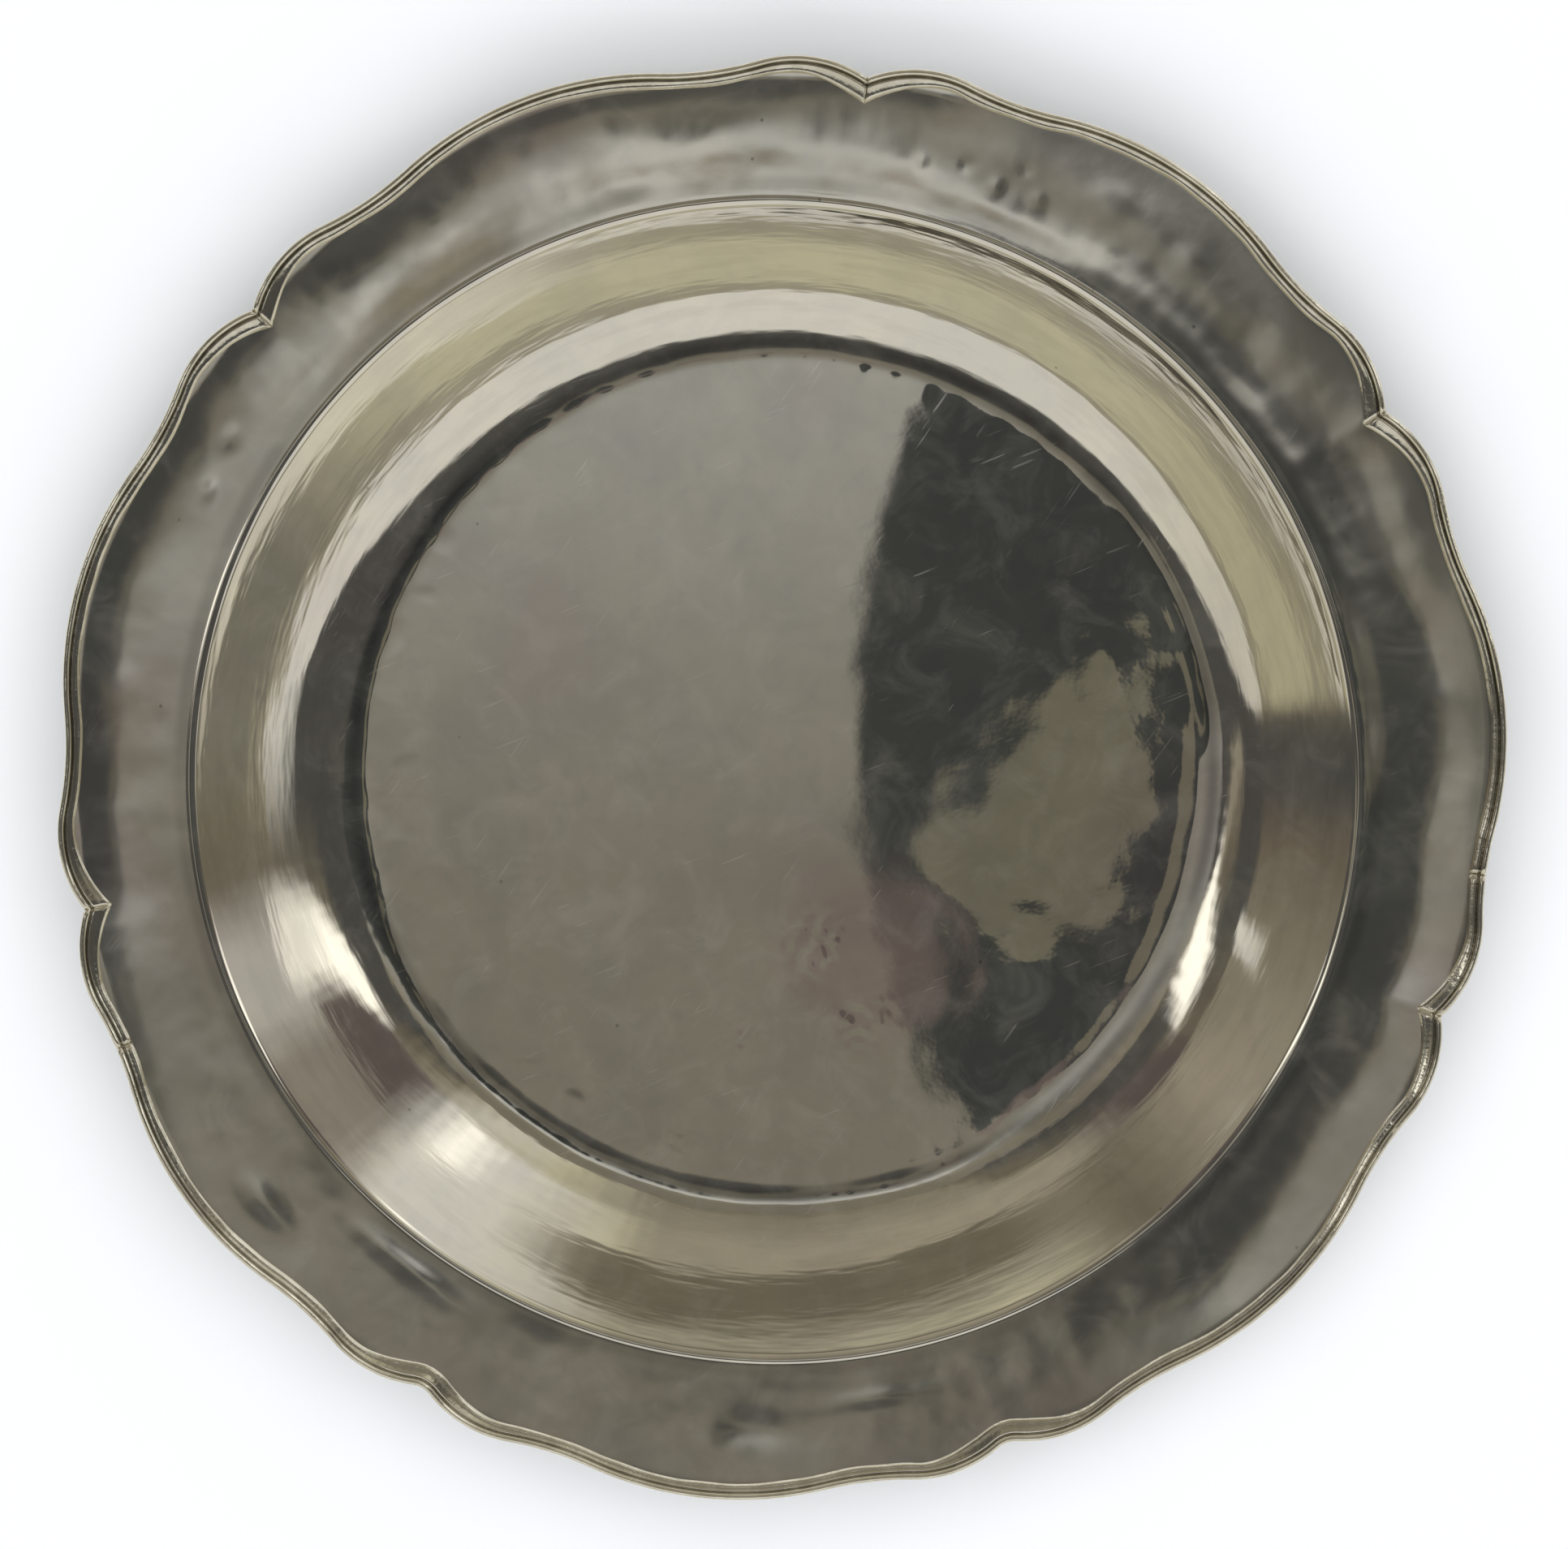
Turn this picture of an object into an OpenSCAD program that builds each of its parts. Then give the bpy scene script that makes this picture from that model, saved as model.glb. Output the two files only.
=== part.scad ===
// Raised silver dish with a seven-lobed rim.
// The dish is one sheet: a flat well, a curved wall, an arris and a broad flange.
// A moulded wire is soldered round the edge of the flange, in seven lengths.
// It is mitred at the sharp notches, bent round the soft ones and butted at two seams.
// Bearings run clockwise from +Y, seen from above. Lengths are in millimetres.

/* [Well and wall] */
// Diameter of the flat well
well_d = 225; // [180:1:300]
// Thickness of the sheet
sheet_t = 1.1; // [0.8:0.1:1.8]
// Width of the curved wall in plan, from the well to the arris
wall_w = 38.1; // [32:0.1:46]
// Height of the curved wall, from the floor of the well to the arris
wall_h = 21.6; // [16:0.1:28]
// Radius of the bend between the well and the wall
well_bend_r = 30; // [8:0.5:36]
// Slope of the wall where the bend ends, in degrees
wall_foot_slope = 32; // [12:1:36]

/* [Flange] */
// Width of the flange in plan, from the wall to the crests of the lobes
flange_w = 39.9; // [34:0.1:60]
// Radius of the arris between the wall and the flange
arris_r = 3; // [2:0.1:5]
// Slope down behind the arris, in degrees
arris_fall = 10; // [4:1:14]
// Radius of the hollow behind the arris
arris_hollow_r = 15; // [8:1:25]
// Slope up of the flange, in degrees
flange_slope = 3; // [1:0.5:6]
// Radius of the bend from the flange to the level seat under the moulding
seat_bend_r = 60; // [20:5:100]
// Width of the level seat that shows inside the moulding at a notch
seat_margin = 2; // [1:0.5:4]

/* [Outline] */
// Radius of the long arc at the crest of a lobe
lobe_arc_r = 95; // [80:1:120]
// Radius of the short arc at each shoulder of a lobe
shoulder_arc_r = 34; // [28:1:42]
// Radius of the hollow arc between crest and shoulder
hollow_arc_r = 90; // [50:1:120]
// Radial distance of the shoulders inside the crests
shoulder_drop = 1.5; // [0.5:0.1:3]
// Bearing between a notch and the shoulder beside it, in degrees
shoulder_angle = 5.7; // [4:0.1:7]
// Radius of the bend in the moulding at a soft notch
soft_notch_r = 6; // [3:0.5:12]
// Stretch of the rim along its longer axis, in per cent, as made by hand
rim_stretch = 1.2; // [0:0.1:3]
// Bearing of the longer axis of the rim, in degrees
rim_stretch_bearing = 39; // [0:1:180]

/* [Rim moulding] */
// Width of the outer bead
bead_w = 1.7; // [1.2:0.1:3]
// Height of the bead above the flange
bead_h = 2; // [1.6:0.1:3]
// Width of the groove beside the bead
groove_w = 0.6; // [0.3:0.1:1]
// Height of the floor of the groove above the flange
groove_floor_h = 0.6; // [0.4:0.1:1.2]
// Width of the inner fillet
fillet_w = 2; // [1:0.1:3]
// Height of the fillet beside the groove
fillet_h = 1.1; // [0.9:0.1:1.8]
// Height of the lip at the inner edge of the fillet
lip_h = 0.3; // [0.2:0.1:0.8]
// Depth of the hollow in the face of the fillet
fillet_hollow = 0.1; // [0:0.05:0.2]
// Overhang of the moulding past the edge of the sheet
overhang = 0.4; // [0.2:0.1:0.8]
// Open gap at each butt seam
seam_gap = 0.2; // [0.1:0.05:0.4]

/* [Hidden] */

silver = [0.74, 0.72, 0.67];
worn_silver = [0.80, 0.78, 0.72];
profile_step = 3;
outline_step = 4;
bead_steps = 6;
cove_steps = 4;
$fn = 180;

// Bearings of the seven notches, spaced by hand and so not quite evenly
notch_bearings = [7, 58.5, 109.5, 160.5, 210, 259.5, 312];
lobes = len(notch_bearings);

// Radii of the dish in plan
wall_top_r = well_d / 2 + wall_w;
crest_r = wall_top_r + flange_w;
shoulder_centre_r = crest_r - shoulder_drop - shoulder_arc_r;
moulding_w = bead_w + groove_w + fillet_w;
rim_squeeze = 1 - rim_stretch / 200;
rim_draw = 1 + rim_stretch / 200;

// Where a mitred notch ends the line that runs a given distance inside the rim
notch_offset = shoulder_centre_r * sin(shoulder_angle);
function notch_r(inside) = shoulder_centre_r * cos(shoulder_angle)
    + sqrt(pow(shoulder_arc_r - inside, 2) - pow(notch_offset, 2));
seat_r = notch_r(moulding_w) * rim_squeeze - seat_margin;

// A point of an arc by the slope of the profile there, with a negative radius for a crown
function slope_point(centre, radius, slope) = centre + radius * [sin(slope), -cos(slope)];
function slope_centre(point, radius, slope) = point - radius * [sin(slope), -cos(slope)];

// Profile of the upper face, arc by arc from the well outwards
bend_centre = [well_d / 2, sheet_t + well_bend_r];
bend_end = slope_point(bend_centre, well_bend_r, wall_foot_slope);
wall_top = [wall_top_r, sheet_t + wall_h];
wall_chord = wall_top - bend_end;
wall_top_slope = 2 * atan2(wall_chord[1], wall_chord[0]) - wall_foot_slope;
wall_r = wall_chord[0] / (sin(wall_top_slope) - sin(wall_foot_slope));
wall_centre = slope_centre(bend_end, wall_r, wall_foot_slope);
arris_centre = slope_centre(wall_top, -arris_r, wall_top_slope);
arris_end = slope_point(arris_centre, -arris_r, -arris_fall);
hollow_centre = slope_centre(arris_end, arris_hollow_r, -arris_fall);
hollow_end = slope_point(hollow_centre, arris_hollow_r, flange_slope);
seat_bend_start = seat_r - seat_bend_r * sin(flange_slope);
seat_z = hollow_end[1] + (seat_bend_start - hollow_end[0]) * tan(flange_slope)
    + seat_bend_r * (1 - cos(flange_slope));
seat_bend_centre = [seat_r, seat_z - seat_bend_r];

// One face of the sheet in profile, at a given depth below the upper face
function arc_steps(from, to, step) = max(2, ceil(abs(to - from) / step));
function profile_arc(centre, radius, from, to) =
    let (steps = arc_steps(from, to, profile_step))
    [for (k = [1 : steps]) slope_point(centre, radius, from + (to - from) * k / steps)];
function profile_face(depth) = concat(
    [slope_point(bend_centre, well_bend_r + depth, 0)],
    profile_arc(bend_centre, well_bend_r + depth, 0, wall_foot_slope),
    profile_arc(wall_centre, wall_r + depth, wall_foot_slope, wall_top_slope),
    profile_arc(arris_centre, depth - arris_r, wall_top_slope, -arris_fall),
    profile_arc(hollow_centre, arris_hollow_r + depth, -arris_fall, flange_slope),
    [slope_point(seat_bend_centre, depth - seat_bend_r, flange_slope)],
    profile_arc(seat_bend_centre, depth - seat_bend_r, flange_slope, 0)
);
function reversed(list) = [for (k = [len(list) - 1 : -1 : 0]) list[k]];

// Plan points and bearings
function at_bearing(radius, bearing) = radius * [sin(bearing), cos(bearing)];
function bearing_of(v) = atan2(v[0], v[1]);
function near_bearing(bearing, about) = bearing + 360 * round((about - bearing) / 360);
function notch_at(i) = notch_bearings[i % lobes] + 360 * floor(i / lobes);
function lobe_axis(i) = (notch_at(i) + notch_at(i + 1)) / 2;

// Centres of the arcs of a lobe, where side is -1 before the crest and 1 after it
function crest_centre(i) = at_bearing(crest_r - lobe_arc_r, lobe_axis(i));
function shoulder_centre(i, side) =
    at_bearing(shoulder_centre_r, (side < 0 ? notch_at(i) : notch_at(i + 1)) - side * shoulder_angle);
function hollow_arc_centre(i, side) =
    let (crest = crest_centre(i),
         reach = shoulder_centre(i, side) - crest,
         span = norm(reach),
         along = reach / span,
         across = side * [-along[1], along[0]],
         to_crest = lobe_arc_r + hollow_arc_r,
         to_shoulder = shoulder_arc_r + hollow_arc_r,
         run = (span * span + to_crest * to_crest - to_shoulder * to_shoulder) / (2 * span))
    crest + run * along + sqrt(to_crest * to_crest - run * run) * across;

// Bearings of the outward normal where the arcs of a lobe join
function crest_join(i, side) =
    near_bearing(bearing_of(hollow_arc_centre(i, side) - crest_centre(i)), lobe_axis(i));
function shoulder_join(i, side) =
    near_bearing(bearing_of(hollow_arc_centre(i, side) - shoulder_centre(i, side)), lobe_axis(i));
function soft_notch_centre(i) = at_bearing(
    shoulder_centre_r * cos(shoulder_angle)
        + sqrt(pow(shoulder_arc_r + soft_notch_r, 2) - pow(notch_offset, 2)),
    notch_at(i));
soft_notch_turn = asin(notch_offset / (shoulder_arc_r + soft_notch_r));

// Arcs of the rim. Each is its centre, its radius, negative for a hollow one, the bearings of
// the normal at its two ends, and the bearing of the mitre that cuts an end, if one does.
function first_shoulder(i, soft = false) = [
    shoulder_centre(i, -1), shoulder_arc_r,
    soft ? notch_at(i) - soft_notch_turn : 0, shoulder_join(i, -1),
    soft ? undef : notch_at(i), undef
];
function first_hollow(i) =
    [hollow_arc_centre(i, -1), -hollow_arc_r, shoulder_join(i, -1), crest_join(i, -1), undef, undef];
function crest(i) = [crest_centre(i), lobe_arc_r, crest_join(i, -1), crest_join(i, 1), undef, undef];
function last_hollow(i) =
    [hollow_arc_centre(i, 1), -hollow_arc_r, crest_join(i, 1), shoulder_join(i, 1), undef, undef];
function last_shoulder(i, soft = false) = [
    shoulder_centre(i, 1), shoulder_arc_r,
    shoulder_join(i, 1), soft ? notch_at(i + 1) + soft_notch_turn : 0,
    undef, soft ? undef : notch_at(i + 1)
];
function soft_notch(i) = [
    soft_notch_centre(i), -soft_notch_r,
    notch_at(i) + soft_notch_turn, notch_at(i) - soft_notch_turn, undef, undef
];

// The two halves of the last hollow of a lobe, which is butted in its middle
seam_turn = seam_gap / 2 / hollow_arc_r * 180 / PI;
function seam_at(i) = (crest_join(i, 1) + shoulder_join(i, 1)) / 2;
function before_seam(i) =
    [hollow_arc_centre(i, 1), -hollow_arc_r, crest_join(i, 1), seam_at(i) + seam_turn, undef, undef];
function after_seam(i) =
    [hollow_arc_centre(i, 1), -hollow_arc_r, seam_at(i) - seam_turn, shoulder_join(i, 1), undef, undef];

// The seven lengths of moulding, clockwise from the first notch
length_1 = [first_shoulder(0), first_hollow(0), crest(0), last_hollow(0), last_shoulder(0)];
length_2 = [first_shoulder(1), first_hollow(1), crest(1), before_seam(1)];
length_3 = [after_seam(1), last_shoulder(1)];
length_4 = [
    first_shoulder(2), first_hollow(2), crest(2), last_hollow(2), last_shoulder(2, soft = true),
    soft_notch(3),
    first_shoulder(3, soft = true), first_hollow(3), crest(3), last_hollow(3), last_shoulder(3, soft = true),
    soft_notch(4),
    first_shoulder(4, soft = true), first_hollow(4), crest(4), before_seam(4)
];
length_5 = [after_seam(4), last_shoulder(4)];
length_6 = [first_shoulder(5), first_hollow(5), crest(5), last_hollow(5), last_shoulder(5)];
length_7 = [first_shoulder(6), first_hollow(6), crest(6), last_hollow(6), last_shoulder(6)];
whole_rim = concat(length_1, length_2, length_3, length_4, length_5, length_6, length_7);

// A plan point of the round rim, drawn along its longer axis and squeezed across it
function on_rim(p) =
    let (along = [sin(rim_stretch_bearing), cos(rim_stretch_bearing)],
         across = [along[1], -along[0]])
    rim_draw * (p * along) * along + rim_squeeze * (p * across) * across;

// Normal at the end of an arc, for the line that runs a given distance inside the rim
function mitre_normal(arc, mitre, inside) = mitre - asin(
    norm(arc[0]) * sin(bearing_of(arc[0]) - mitre) / (arc[1] - inside));
function end_normal(arc, end, inside) =
    is_undef(arc[4 + end]) ? arc[2 + end] : mitre_normal(arc, arc[4 + end], inside);
function rim_point(arc, share, inside) =
    let (first = end_normal(arc, 0, inside),
         last = end_normal(arc, 1, inside))
    arc[0] + at_bearing(arc[1] - inside, first + (last - first) * share);
function rim_steps(arc) = arc_steps(end_normal(arc, 0, 0), end_normal(arc, 1, 0), outline_step);

// Section of the moulding, as distance inside the rim and height above the flange
bead_r = bead_w / 2;
bead_foot = 210;
fillet_in = bead_w + groove_w;
moulding_section = concat(
    [[bead_r * (1 + cos(bead_foot)), 0]],
    [for (k = [0 : bead_steps])
        let (turn = bead_foot * (1 - k / bead_steps))
            [bead_r * (1 + cos(turn)), bead_h - bead_r * (1 - sin(turn))]],
    [[bead_w + groove_w / 2, groove_floor_h]],
    [for (k = [0 : cove_steps])
        let (share = k / cove_steps)
            [fillet_in + fillet_w * share,
             fillet_h + (lip_h - fillet_h) * share - fillet_hollow * sin(180 * share)]],
    [[moulding_w, 0]]
);

// A length of moulding, swept along its arcs
module swept_moulding(arcs) {
    sides = len(moulding_section);
    rings = [
        for (n = [0 : len(arcs) - 1])
            let (steps = rim_steps(arcs[n]))
                for (k = [n == 0 ? 0 : 1 : steps])
                    [for (p = moulding_section)
                        let (plan = on_rim(rim_point(arcs[n], k / steps, p[0])))
                            [plan[0], plan[1], seat_z + p[1]]]
    ];
    last = len(rings) - 1;
    skin = [
        for (ring = [0 : last - 1])
            for (side = [0 : sides - 1])
                let (a = ring * sides + side,
                     b = ring * sides + (side + 1) % sides)
                    each [[a, b, b + sides], [a, b + sides, a + sides]]
    ];
    first_end = [for (side = [sides - 1 : -1 : 0]) side];
    last_end = [for (side = [0 : sides - 1]) last * sides + side];
    polyhedron([for (ring = rings) each ring], concat(skin, [first_end, last_end]));
}

// Plan of the sheet, which stops short of the outer edge of the moulding
module sheet_plan() {
    polygon([
        for (arc = whole_rim)
            let (steps = rim_steps(arc))
                for (k = [1 : steps])
                    on_rim(rim_point(arc, k / steps, overhang))
    ]);
}

// The raised sheet: well, wall, arris and flange
module dish() {
    stock_r = crest_r * rim_draw + moulding_w;
    color(silver)
        intersection() {
            rotate_extrude()
                polygon(concat(
                    [[0, 0], [0, sheet_t]],
                    profile_face(0),
                    [[stock_r, seat_z], [stock_r, seat_z - sheet_t]],
                    reversed(profile_face(sheet_t))
                ));
            linear_extrude(seat_z + bead_h)
                sheet_plan();
        }
}

// Moulding from the first notch to the second
module rim_moulding_1() { color(worn_silver) swept_moulding(length_1); }
// Moulding from the second notch to the first butt seam
module rim_moulding_2() { color(worn_silver) swept_moulding(length_2); }
// Short make-up length from the first butt seam to the third notch
module rim_moulding_3() { color(worn_silver) swept_moulding(length_3); }
// Long length from the third notch, bent round the two soft notches, to the second butt seam
module rim_moulding_4() { color(worn_silver) swept_moulding(length_4); }
// Short make-up length from the second butt seam to the sixth notch
module rim_moulding_5() { color(worn_silver) swept_moulding(length_5); }
// Moulding from the sixth notch to the seventh
module rim_moulding_6() { color(worn_silver) swept_moulding(length_6); }
// Moulding from the seventh notch to the first
module rim_moulding_7() { color(worn_silver) swept_moulding(length_7); }

dish();
rim_moulding_1();
rim_moulding_2();
rim_moulding_3();
rim_moulding_4();
rim_moulding_5();
rim_moulding_6();
rim_moulding_7();
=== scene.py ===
"""Looks of a raised silver dish with a seven-lobed, moulded rim.

The shapes are worked out in millimetres and put into Blender in metres.
Bearings run clockwise from +Y, seen from above, in degrees.
"""

import math

import bpy
import numpy as np
from mathutils import Matrix, Vector, noise


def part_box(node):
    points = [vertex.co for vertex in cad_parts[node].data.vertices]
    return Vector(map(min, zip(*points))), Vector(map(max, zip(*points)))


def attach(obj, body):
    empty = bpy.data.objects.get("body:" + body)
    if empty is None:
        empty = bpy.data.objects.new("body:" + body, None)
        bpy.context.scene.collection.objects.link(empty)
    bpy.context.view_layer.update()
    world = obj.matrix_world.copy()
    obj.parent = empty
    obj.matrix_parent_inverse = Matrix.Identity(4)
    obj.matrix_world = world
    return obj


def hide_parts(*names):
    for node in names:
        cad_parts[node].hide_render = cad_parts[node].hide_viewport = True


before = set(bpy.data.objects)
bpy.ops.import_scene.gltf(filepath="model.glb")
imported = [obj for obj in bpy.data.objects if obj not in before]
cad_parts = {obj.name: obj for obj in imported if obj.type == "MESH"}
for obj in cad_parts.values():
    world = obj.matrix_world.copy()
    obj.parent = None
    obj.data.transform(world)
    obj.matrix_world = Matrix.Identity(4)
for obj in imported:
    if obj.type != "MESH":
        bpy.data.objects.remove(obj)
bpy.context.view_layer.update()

MM = 0.001

# Sizes of the dish, as in the part's source
WELL_R = 112.5
SHEET_T = 1.1
WALL_W = 38.1
WALL_H = 21.6
WELL_BEND_R = 30.0
WALL_FOOT_SLOPE = 32.0
FLANGE_W = 39.9
ARRIS_R = 3.0
LOBE_ARC_R = 95.0
SHOULDER_ARC_R = 34.0
HOLLOW_ARC_R = 90.0
SHOULDER_DROP = 1.5
SHOULDER_ANGLE = 5.7
SOFT_NOTCH_R = 6.0
RIM_STRETCH = 1.2
RIM_STRETCH_BEARING = 39.0
BEAD_W = 1.7
BEAD_H = 2.0
GROOVE_W = 0.6
GROOVE_FLOOR_H = 0.6
FILLET_W = 2.0
FILLET_H = 1.1
FILLET_HOLLOW = 0.1
OVERHANG = 0.4
SEAM_GAP = 0.2
NOTCH_BEARINGS = [7, 58.5, 109.5, 160.5, 210, 259.5, 312]

# Level of the seat under the moulding
SEAT_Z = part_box("rim_moulding_1")[0].z / MM

# Hand-made form that the looks add to those sizes
WELL_SHIFT = np.array([0.5, -0.2])
ARRIS_SHIFT = np.array([-1.1, -0.8])
EASE_R = 62.0
EASE_SLOPE = 7.5
EASE_LOSS = 0.28
CREASE_LOSS = 0.08
EARLY_RISE = 0.07
FLANGE_HOLLOW = 0.15
ARRIS_FALL = 8.0
ARRIS_HOLLOW_R = 5.0
FLANGE_SLOPE = 0.3
CURL_W = 20.0
CURL_H = 1.1
RIM_INSET = 0.1
RIM_SAG = 0.35
RIM_DROP = 0.08
LIP_H = 0.8
LIP_W = 0.7
NOTCH_FILLET = 1.7
NOTCH_FILLET_ANGLE = 8.0
WIRE_WOBBLE = 0.4
WIRE_WEAR = 0.05
WIRE_SINK = 0.06
WIDE_SINK = 0.16
FILED_END = 0.82

# Fineness of the meshes: rings are counted for the well, its ease, the bend, wall, arris and hollow
ANGLES = 960
STATION = 1.2
FACE_RINGS = (100, 14, 26, 44, 14, 6)
FACE_FLANGE_RINGS = 40
BACK_RINGS = (10, 4, 6, 14, 6, 4)
BACK_FLANGE_RINGS = 10

WALL_TOP_R = WELL_R + WALL_W
CREST_R = WALL_TOP_R + FLANGE_W
SHOULDER_CENTRE_R = CREST_R - SHOULDER_DROP - SHOULDER_ARC_R
MOULDING_W = BEAD_W + GROOVE_W + FILLET_W
NOTCH_OFFSET = SHOULDER_CENTRE_R * math.sin(math.radians(SHOULDER_ANGLE))
LOBES = len(NOTCH_BEARINGS)


# Profile of the sheet

def slope_point(centre, radius, slope):
    turn = math.radians(slope)
    return np.array(centre) + radius * np.array([math.sin(turn), -math.cos(turn)])


def slope_centre(point, radius, slope):
    return slope_point(point, -radius, slope)


bend_centre = np.array([WELL_R, SHEET_T + WELL_BEND_R])
ease_end = slope_point(bend_centre, WELL_BEND_R, EASE_SLOPE)
ease_centre = slope_centre(ease_end, EASE_R, EASE_SLOPE)
flat_r = ease_centre[0]
floor_z = ease_centre[1] - EASE_R
bend_end = slope_point(bend_centre, WELL_BEND_R, WALL_FOOT_SLOPE)
wall_top = np.array([WALL_TOP_R, SHEET_T + WALL_H])
wall_chord = wall_top - bend_end
wall_top_slope = 2 * math.degrees(math.atan2(wall_chord[1], wall_chord[0])) - WALL_FOOT_SLOPE
wall_r = wall_chord[0] / (math.sin(math.radians(wall_top_slope)) - math.sin(math.radians(WALL_FOOT_SLOPE)))
wall_centre = slope_centre(bend_end, wall_r, WALL_FOOT_SLOPE)
arris_centre = slope_centre(wall_top, -ARRIS_R, wall_top_slope)
arris_end = slope_point(arris_centre, -ARRIS_R, -ARRIS_FALL)
hollow_centre = slope_centre(arris_end, ARRIS_HOLLOW_R, -ARRIS_FALL)
hollow_end = slope_point(hollow_centre, ARRIS_HOLLOW_R, FLANGE_SLOPE)


def profile_rings(depth, well, ease, bend, wall, arris, hollow):
    """Radius, height and slope of the rings from the well to the flange, at a depth below the face."""
    rings = [(flat_r * k / well, floor_z - depth, 0.0) for k in range(1, well)]

    def add(centre, radius, first, last, steps):
        for k in range(steps):
            slope = first + (last - first) * k / steps
            point = slope_point(centre, radius + depth, slope)
            rings.append((point[0], point[1], slope))

    add(ease_centre, EASE_R, 0, EASE_SLOPE, ease)
    add(bend_centre, WELL_BEND_R, EASE_SLOPE, WALL_FOOT_SLOPE, bend)
    add(wall_centre, wall_r, WALL_FOOT_SLOPE, wall_top_slope, wall)
    add(arris_centre, -ARRIS_R, wall_top_slope, -ARRIS_FALL, arris)
    add(hollow_centre, ARRIS_HOLLOW_R, -ARRIS_FALL, FLANGE_SLOPE, hollow)
    return rings


# Outline of the rim

def at_bearing(radius, bearing):
    turn = np.radians(bearing)
    return np.array([radius * np.sin(turn), radius * np.cos(turn)])


def bearing_of(v):
    return math.degrees(math.atan2(v[0], v[1]))


def near_bearing(bearing, about):
    return bearing + 360 * round((about - bearing) / 360)


def notch_at(i):
    return NOTCH_BEARINGS[i % LOBES] + 360 * (i // LOBES)


def lobe_axis(i):
    return (notch_at(i) + notch_at(i + 1)) / 2


def crest_centre(i):
    return at_bearing(CREST_R - LOBE_ARC_R, lobe_axis(i))


def shoulder_centre(i, side):
    notch = notch_at(i) if side < 0 else notch_at(i + 1)
    return at_bearing(SHOULDER_CENTRE_R, notch - side * SHOULDER_ANGLE)


def hollow_arc_centre(i, side):
    crest = crest_centre(i)
    reach = shoulder_centre(i, side) - crest
    span = np.linalg.norm(reach)
    along = reach / span
    across = side * np.array([-along[1], along[0]])
    to_crest = LOBE_ARC_R + HOLLOW_ARC_R
    to_shoulder = SHOULDER_ARC_R + HOLLOW_ARC_R
    run = (span ** 2 + to_crest ** 2 - to_shoulder ** 2) / (2 * span)
    return crest + run * along + math.sqrt(to_crest ** 2 - run ** 2) * across


def crest_join(i, side):
    return near_bearing(bearing_of(hollow_arc_centre(i, side) - crest_centre(i)), lobe_axis(i))


def shoulder_join(i, side):
    return near_bearing(bearing_of(hollow_arc_centre(i, side) - shoulder_centre(i, side)), lobe_axis(i))


SOFT_TURN = math.degrees(math.asin(NOTCH_OFFSET / (SHOULDER_ARC_R + SOFT_NOTCH_R)))
SEAM_TURN = math.degrees(SEAM_GAP / 2 / HOLLOW_ARC_R)


class Arc:
    """An arc of the rim: centre, radius, which is negative in a hollow, and the normals at its ends."""

    def __init__(self, centre, radius, first, last, mitre_first=None, mitre_last=None):
        self.centre = centre
        self.radius = radius
        self.ends = (first, last)
        self.mitres = (mitre_first, mitre_last)

    def normal(self, end, inside):
        mitre = self.mitres[end]
        if mitre is None:
            return self.ends[end]
        lean = math.radians(bearing_of(self.centre) - mitre)
        share = np.linalg.norm(self.centre) * math.sin(lean) / (self.radius - inside)
        return mitre - math.degrees(math.asin(share))

    def point(self, share, inside):
        first = self.normal(0, inside)
        last = self.normal(1, inside)
        return on_rim(self.centre + at_bearing(self.radius - inside, first + (last - first) * share))

    def stations(self):
        length = abs(math.radians(self.normal(1, 0) - self.normal(0, 0)) * self.radius)
        return max(4, round(length / STATION))


def on_rim(p):
    """A point of the round rim, drawn along its longer axis and squeezed across it."""
    along = at_bearing(1.0, RIM_STRETCH_BEARING)
    across = at_bearing(1.0, RIM_STRETCH_BEARING + 90)
    draw = 1 + RIM_STRETCH / 200
    squeeze = 1 - RIM_STRETCH / 200
    return draw * np.dot(p, along) * along + squeeze * np.dot(p, across) * across


def first_shoulder(i, soft=False):
    notch = notch_at(i)
    first = notch - SOFT_TURN if soft else 0
    return Arc(shoulder_centre(i, -1), SHOULDER_ARC_R, first, shoulder_join(i, -1), None if soft else notch)


def last_shoulder(i, soft=False):
    notch = notch_at(i + 1)
    last = notch + SOFT_TURN if soft else 0
    first = shoulder_join(i, 1)
    return Arc(shoulder_centre(i, 1), SHOULDER_ARC_R, first, last, None, None if soft else notch)


def first_hollow(i):
    return Arc(hollow_arc_centre(i, -1), -HOLLOW_ARC_R, shoulder_join(i, -1), crest_join(i, -1))


def last_hollow(i):
    return Arc(hollow_arc_centre(i, 1), -HOLLOW_ARC_R, crest_join(i, 1), shoulder_join(i, 1))


def crest(i):
    return Arc(crest_centre(i), LOBE_ARC_R, crest_join(i, -1), crest_join(i, 1))


def soft_notch(i):
    reach = SHOULDER_CENTRE_R * math.cos(math.radians(SHOULDER_ANGLE))
    reach += math.sqrt((SHOULDER_ARC_R + SOFT_NOTCH_R) ** 2 - NOTCH_OFFSET ** 2)
    notch = notch_at(i)
    return Arc(at_bearing(reach, notch), -SOFT_NOTCH_R, notch + SOFT_TURN, notch - SOFT_TURN)


def seam_at(i):
    return (crest_join(i, 1) + shoulder_join(i, 1)) / 2


def before_seam(i):
    return Arc(hollow_arc_centre(i, 1), -HOLLOW_ARC_R, crest_join(i, 1), seam_at(i) + SEAM_TURN)


def after_seam(i):
    return Arc(hollow_arc_centre(i, 1), -HOLLOW_ARC_R, seam_at(i) - SEAM_TURN, shoulder_join(i, 1))


def whole_lobe(i):
    return [first_shoulder(i), first_hollow(i), crest(i), last_hollow(i), last_shoulder(i)]


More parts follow.
